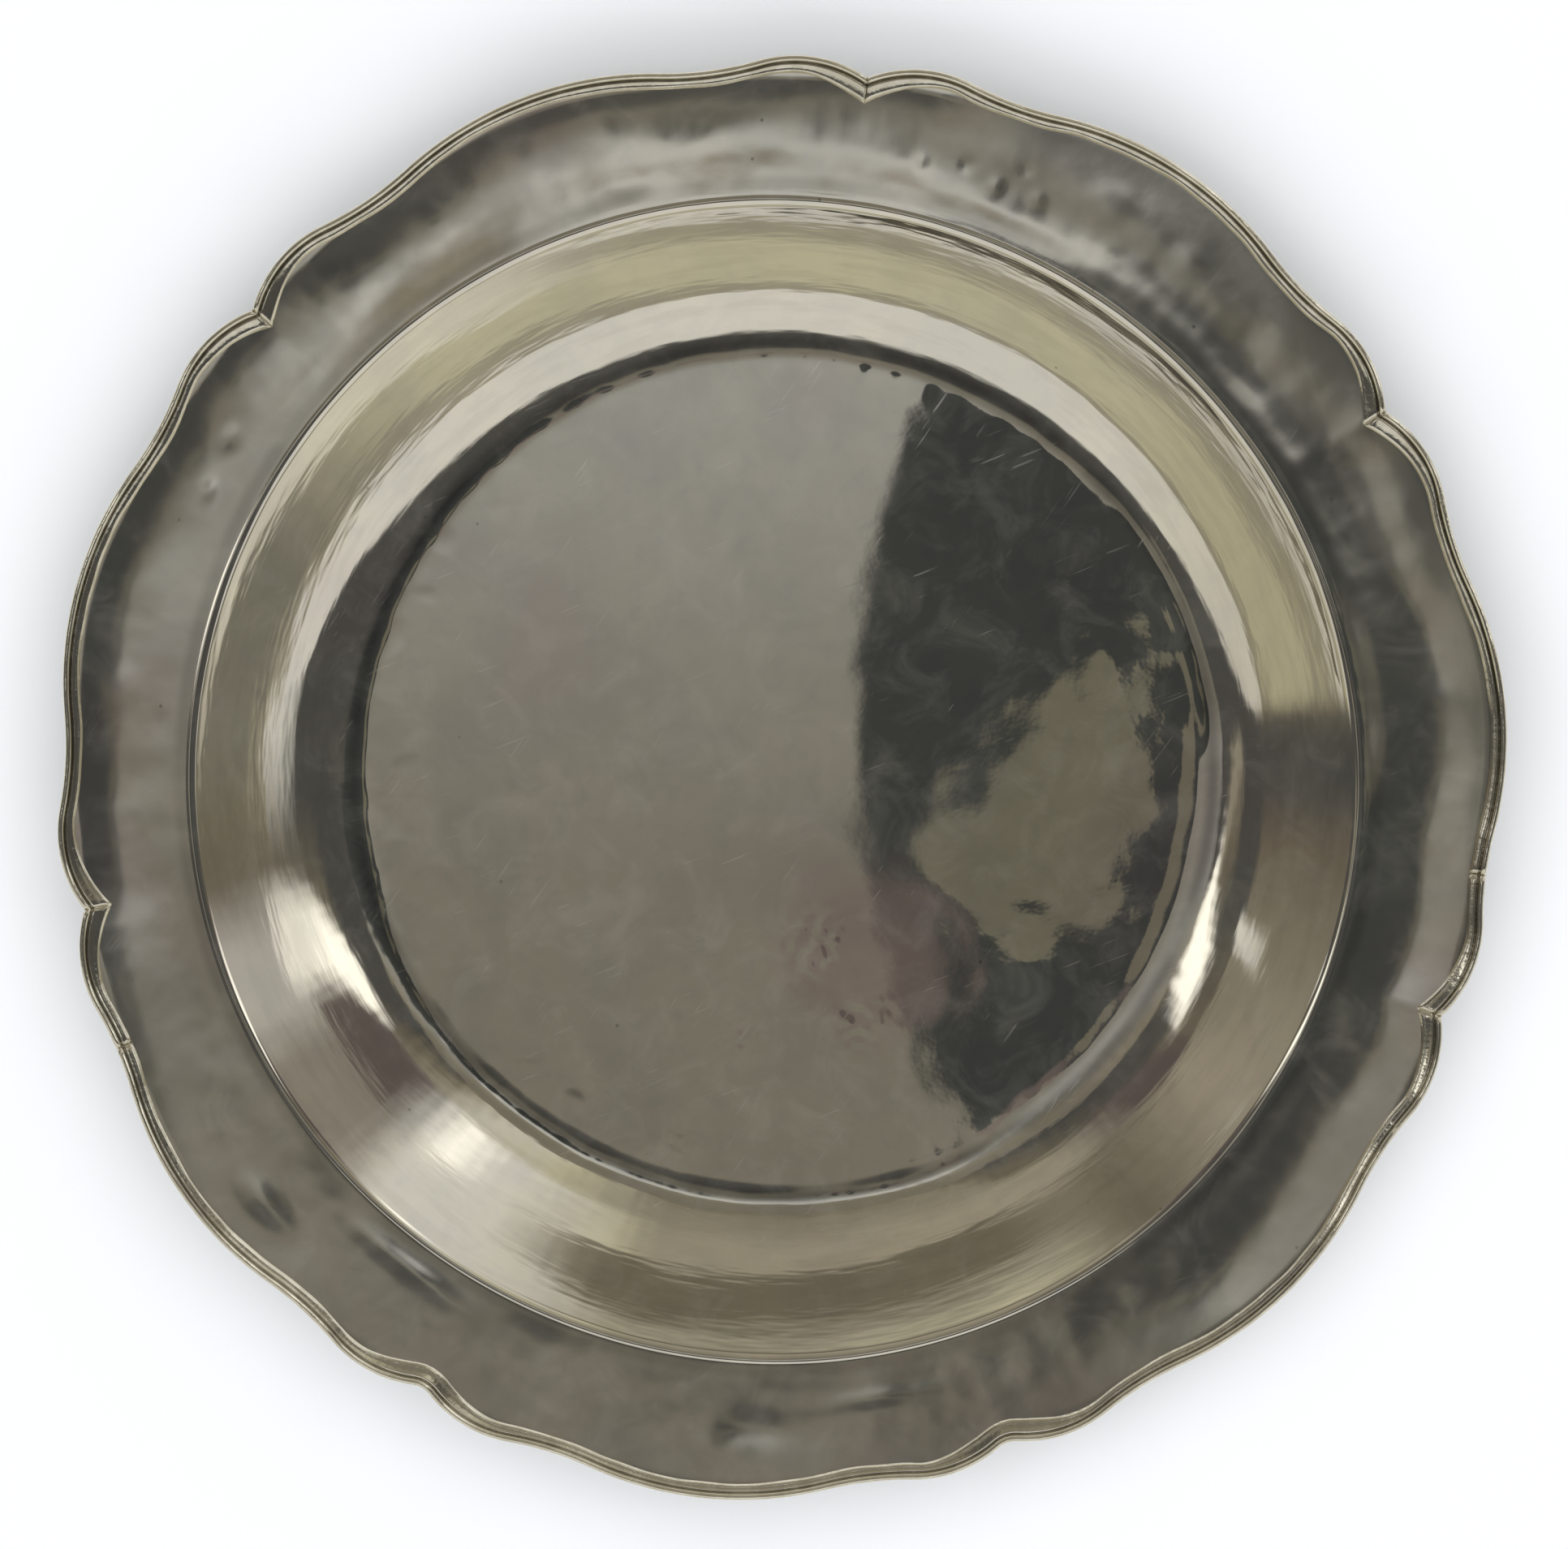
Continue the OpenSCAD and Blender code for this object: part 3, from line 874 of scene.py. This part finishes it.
def make_floor():
    half = FLOOR_SIZE / 2
    mesh = bpy.data.meshes.new("floor")
    corners = [(-half, -half, 0), (half, -half, 0), (half, half, 0), (-half, half, 0)]
    mesh.from_pydata(corners, [], [(0, 1, 2, 3)])
    material, t = new_material("pale_floor")
    rays = t.node("ShaderNodeLightPath").outputs
    seen = t.math("MAXIMUM", rays["Is Camera Ray"], rays["Is Glossy Ray"])
    seen = t.math("MAXIMUM", seen, rays["Is Transmission Ray"])
    matt = t.node("ShaderNodeBsdfDiffuse", {"Color": FLOOR_TONE}).outputs[0]
    lift = t.node("ShaderNodeEmission", {"Color": FLOOR_LIFT, "Strength": seen}).outputs[0]
    surface = t.node("ShaderNodeAddShader", {0: matt, 1: lift}).outputs[0]
    t.node("ShaderNodeOutputMaterial", {"Surface": surface})
    mesh.materials.append(material)
    floor = bpy.data.objects.new("floor", mesh)
    floor.location.z = -FLOOR_DROP
    bpy.context.scene.collection.objects.link(floor)


def make_fill():
    """A broad soft lamp overhead for the floor, kept out of the mirror of the metal."""
    data = bpy.data.lights.new("fill", "AREA")
    data.size = FILL_SIZE
    data.energy = math.pi * FILL_SIZE ** 2 * FILL_LEVEL
    data.color = FILL_TONE
    lamp = bpy.data.objects.new("fill", data)
    lamp.location.z = FILL_HEIGHT
    lamp.visible_glossy = False
    lamp.visible_camera = False
    bpy.context.scene.collection.objects.link(lamp)


# Tones of the studio
DARK = (0.10, 0.10, 0.10)
SHADE = (0.21, 0.19, 0.15)
PLUM = (0.15, 0.125, 0.125)
UMBER = (0.19, 0.165, 0.135)
ASH = (0.33, 0.31, 0.28)
MOSS = (0.25, 0.245, 0.21)
CLAY = (0.30, 0.28, 0.23)
OLIVE = (0.44, 0.42, 0.345)
BEIGE = (0.43, 0.40, 0.33)
TAN = (0.655, 0.635, 0.495)
SILVER_GREY = (0.62, 0.62, 0.60)
PEARL = (0.76, 0.75, 0.70)
IVORY = (0.88, 0.86, 0.78)
CREAM = (0.91, 0.91, 0.90)
WARM_CREAM = (0.76, 0.73, 0.66)
WHITE = (1.80, 1.80, 1.75)
PANEL = (0.72, 0.73, 0.75)
SCREEN = (0.062, 0.067, 0.070)
OPENING = (0.20, 0.192, 0.155)
ROSE = (0.23, 0.18, 0.18)
LOAM = (0.25, 0.235, 0.20)
STONE = (0.265, 0.255, 0.23)
SLATE = (0.32, 0.313, 0.295)
MIST = (0.44, 0.445, 0.45)

# Tones by the angle from straight up, in degrees, or by bearing, or by the plan of the directions overhead
SOUTH = [
    (63.8, CREAM), (66.0, OLIVE), (69.0, OLIVE), (71.0, TAN), (80.0, TAN), (84.0, OLIVE), (86.0, OLIVE),
    (88.5, CREAM),
]
NORTH = [
    (9.0, SHADE), (14.0, CLAY), (45.0, BEIGE), (57.5, BEIGE), (60.0, SHADE), (68.0, SHADE),
    (73.0, OLIVE), (77.0, TAN), (84.0, CREAM),
]
SIDES_NEAR = [
    (18, BEIGE), (32, TAN), (45, PEARL), (54, BEIGE), (62, SHADE), (72, DARK), (100, DARK),
    (248, SHADE), (257, BEIGE), (263, SHADE), (281, DARK), (300, DARK), (316, SHADE), (325, BEIGE),
]
SIDES_INNER = [
    (18, TAN), (28, PEARL), (38, CREAM), (44, WHITE), (48, CREAM), (55, PLUM), (68, PLUM), (80, SHADE),
    (98, DARK), (248, SHADE), (256, DARK), (276, DARK), (292, SHADE), (296, PLUM), (305, PLUM), (314, BEIGE),
]
SIDES_OUTER = [
    (15, OLIVE), (25, PEARL), (40, CREAM), (47, CREAM), (54, ASH), (64, ASH), (71, SILVER_GREY),
    (78, SILVER_GREY), (86, SHADE), (98, SHADE), (252, SHADE), (259, DARK), (263, DARK), (270, UMBER),
    (282, CLAY), (298, BEIGE), (312, SHADE), (330, BEIGE),
]
ROOF = [(-0.20, LOAM), (-0.135, STONE), (-0.115, SLATE), (-0.085, MIST), (0.0, CLAY), (0.05, LOAM)]


class Direction:
    """Where a ray goes: its angle from straight up, its bearing and its place in the plan overhead."""

    def __init__(self, t):
        ray = t.node("ShaderNodeTexCoord").outputs["Generated"]
        x, y, z = t.node("ShaderNodeSeparateXYZ", {0: ray}).outputs
        self.zenith = t.math("DEGREES", t.math("ARCCOSINE", z))
        self.bearing = t.math("WRAP", t.math("DEGREES", t.math("ARCTAN2", x, y)), 360.0, 0.0)
        flat = t.math("MAXIMUM", z, 0.01)
        self.x = t.math("DIVIDE", x, flat)
        self.y = t.math("DIVIDE", y, flat)


def strip_lamp(t, to, side, start, offset, slope, width, reach):
    """Mask of a straight strip of light to one side, in the plan overhead, weaker further out."""
    along = t.math("SUBTRACT", t.math("MULTIPLY", to.x, side), start)
    off = t.math("ABSOLUTE", t.math("SUBTRACT", to.y, t.math("MULTIPLY_ADD", along, slope, offset)))
    half = t.math("MULTIPLY_ADD", along, 0.06, 0.045)
    across = t.step(t.math("DIVIDE", off, half), 1.7 * width, 0.4 * width)
    ends = t.both(t.step(along, -0.10, 0.08), t.step(along, reach, reach - 0.4))
    return t.both(across, ends, t.step(along, 0.5, 1.1, 1.0, 0.6))


def side_panels(t, to):
    """Panels all round in three tiers, with a strip of light on either side and a spot in the west."""
    near = t.ramp(to.bearing, (0, 360), SIDES_NEAR)
    inner = t.ramp(to.bearing, (0, 360), SIDES_INNER)
    outer = t.ramp(to.bearing, (0, 360), SIDES_OUTER)
    colour = t.mix(t.step(to.zenith, 30.0, 40.0), near, inner)
    colour = t.mix(t.step(to.zenith, 57.0, 63.0), colour, outer)
    east_strip = strip_lamp(t, to, side=1.0, start=0.60, offset=0.20, slope=0.15, width=1.5, reach=1.55)
    west_strip = strip_lamp(t, to, side=-1.0, start=0.25, offset=-0.075, slope=0.58, width=0.8, reach=0.8)
    west_spot = strip_lamp(t, to, side=-1.0, start=1.40, offset=0.22, slope=0.29, width=0.9, reach=1.4)
    colour = t.mix(t.math("MAXIMUM", east_strip, west_strip), colour, WHITE)
    return t.mix(west_spot, colour, CREAM)


def north_panel(t, to, colour):
    """The north by the angle from straight up, with a dark band that runs on into the north-east."""
    lower = t.math("ADD", to.zenith, t.step(to.bearing, 14.0, 34.0, 0.0, 4.0))
    band = t.both(t.step(to.zenith, 57.5, 60.0), t.step(lower, 72.0, 68.0), t.step(to.bearing, 36.0, 18.0))
    colour = t.mix(band, colour, SHADE)
    north = t.ramp(to.zenith, (0, 100), NORTH)
    in_north = t.math("MAXIMUM", t.step(to.bearing, 22.0, 12.0), t.step(to.bearing, 314.0, 330.0))
    return t.mix(in_north, colour, north)


def south_panel(t, to, colour):
    """The south by the angle from straight up: warmer in the west, greyer in the east and dark overhead."""
    south = t.ramp(t.math("ADD", to.zenith, t.step(to.bearing, 150.0, 110.0, 0.0, 2.5)), (0, 100), SOUTH)
    south = t.mix(t.step(to.bearing, 205.0, 245.0, 0.0, 0.6), south, WARM_CREAM, "MULTIPLY")
    low = t.both(t.step(to.zenith, 63.0, 67.0), t.step(to.zenith, 80.0, 77.0))
    south = t.mix(t.both(t.step(to.bearing, 152.0, 118.0), low), south, MOSS)
    pale = t.both(t.step(to.bearing, 172.0, 150.0), t.step(to.zenith, 77.0, 80.0))
    south = t.mix(pale, south, IVORY)
    lean = t.math("MULTIPLY", t.math("MINIMUM", t.math("MAXIMUM", to.x, 0.0), 0.65), 0.3)
    overhead = t.both(t.step(t.math("ADD", to.y, lean), -0.37, -0.31), t.step(to.zenith, 62.0, 52.0))
    south = t.mix(overhead, south, DARK)
    in_south = t.both(t.step(to.bearing, 86.0, 105.0), t.step(to.bearing, 257.0, 253.0))
    return t.mix(in_south, colour, south)


def horizon(t, to, colour):
    """A dull stretch of horizon in the east, and a light one from the north-west to the north-east."""
    in_east = t.both(t.step(to.bearing, 76.0, 84.0), t.step(to.bearing, 112.0, 102.0))
    colour = t.mix(t.both(t.step(to.zenith, 77.5, 80.5), in_east), colour, OLIVE)
    in_north = t.math("MAXIMUM", t.step(to.bearing, 293.0, 303.0), t.step(to.bearing, 80.0, 70.0))
    return t.mix(t.both(in_north, t.step(to.zenith, 79.5, 84.0)), colour, CREAM)


def roof(t, to, colour):
    """What the well mirrors: a pale panel, a dark round screen with an opening, and a warm spot."""
    panel = t.both(t.step(to.y, -0.085, -0.055), t.step(to.y, -0.005, -0.025))
    panel = t.both(panel, t.step(to.x, -0.115, -0.07), t.step(to.x, 0.045, 0.015))
    tone = t.mix(panel, t.ramp(to.y, (-0.25, 0.1), ROOF), PANEL)

    screen = t.step(t.distance(to.x, to.y, 0.05, -0.118), 0.0890, 0.0870)
    screen = t.math("MAXIMUM", screen, t.step(to.x, 0.09, 0.12))
    screen = t.both(screen, t.step(to.y, -0.052, -0.074))
    tone = t.mix(screen, tone, SCREEN)

    low_y = t.math("MULTIPLY", to.y, 0.75)
    opening = t.step(t.distance(to.x, low_y, -0.0195, -0.0923), 0.0145, 0.0130)
    opening = t.both(opening, t.step(t.math("SUBTRACT", to.y, to.x), -0.096, -0.102))
    tone = t.mix(opening, tone, OPENING)

    warm_spot = t.step(t.distance(to.x, to.y, -0.036, -0.143), 0.012, 0.005, 0.0, 0.6)
    tone = t.mix(warm_spot, tone, ROSE)
    edge = t.math("SUBTRACT", to.zenith, t.step(to.x, -0.10, -0.16, 0.0, 3.5))
    return t.mix(t.step(edge, 11.5, 10.0), colour, tone)


def make_world():
    """A studio by direction: soft panels by bearing and by the angle from straight up."""
    world = bpy.data.worlds.new("studio")
    world.use_nodes = True
    bpy.context.scene.world = world
    t = Tree(world.node_tree)
    to = Direction(t)
    colour = side_panels(t, to)
    colour = north_panel(t, to, colour)
    colour = south_panel(t, to, colour)
    colour = horizon(t, to, colour)
    colour = roof(t, to, colour)
    light = t.node("ShaderNodeBackground", {"Color": colour, "Strength": 1.0}).outputs[0]
    t.node("ShaderNodeOutputWorld", {"Surface": light})


make_floor()
make_fill()
make_world()


# Camera at the photograph's viewing angle

VIEW_TILT = 7.5
VIEW_BEARING = 20.0
VIEW_DISTANCE = 2500.0
PHOTO_WIDTH = 1932
MM_PER_PIXEL = 0.2113
SENSOR = 36.0
AIM = np.array([1.95, 2.0, 25.0])


def make_camera():
    tilt = math.radians(VIEW_TILT)
    side = at_bearing(math.sin(tilt), VIEW_BEARING)
    back = Vector((side[0], side[1], math.cos(tilt)))
    right = Vector((0, 1, 0)).cross(back).normalized()
    up = back.cross(right)
    data = bpy.data.cameras.new("camera")
    data.sensor_width = SENSOR
    data.sensor_fit = "HORIZONTAL"
    data.lens = SENSOR * VIEW_DISTANCE / (MM_PER_PIXEL * PHOTO_WIDTH)
    data.clip_end = 200.0
    camera = bpy.data.objects.new("camera", data)
    turn = Matrix((right, up, back)).transposed().to_4x4()
    spot = (Vector(AIM) + back * VIEW_DISTANCE) * MM
    camera.matrix_world = Matrix.Translation(spot) @ turn
    bpy.context.scene.collection.objects.link(camera)
    bpy.context.scene.camera = camera


make_camera()
bpy.context.scene.view_settings.view_transform = "Standard"
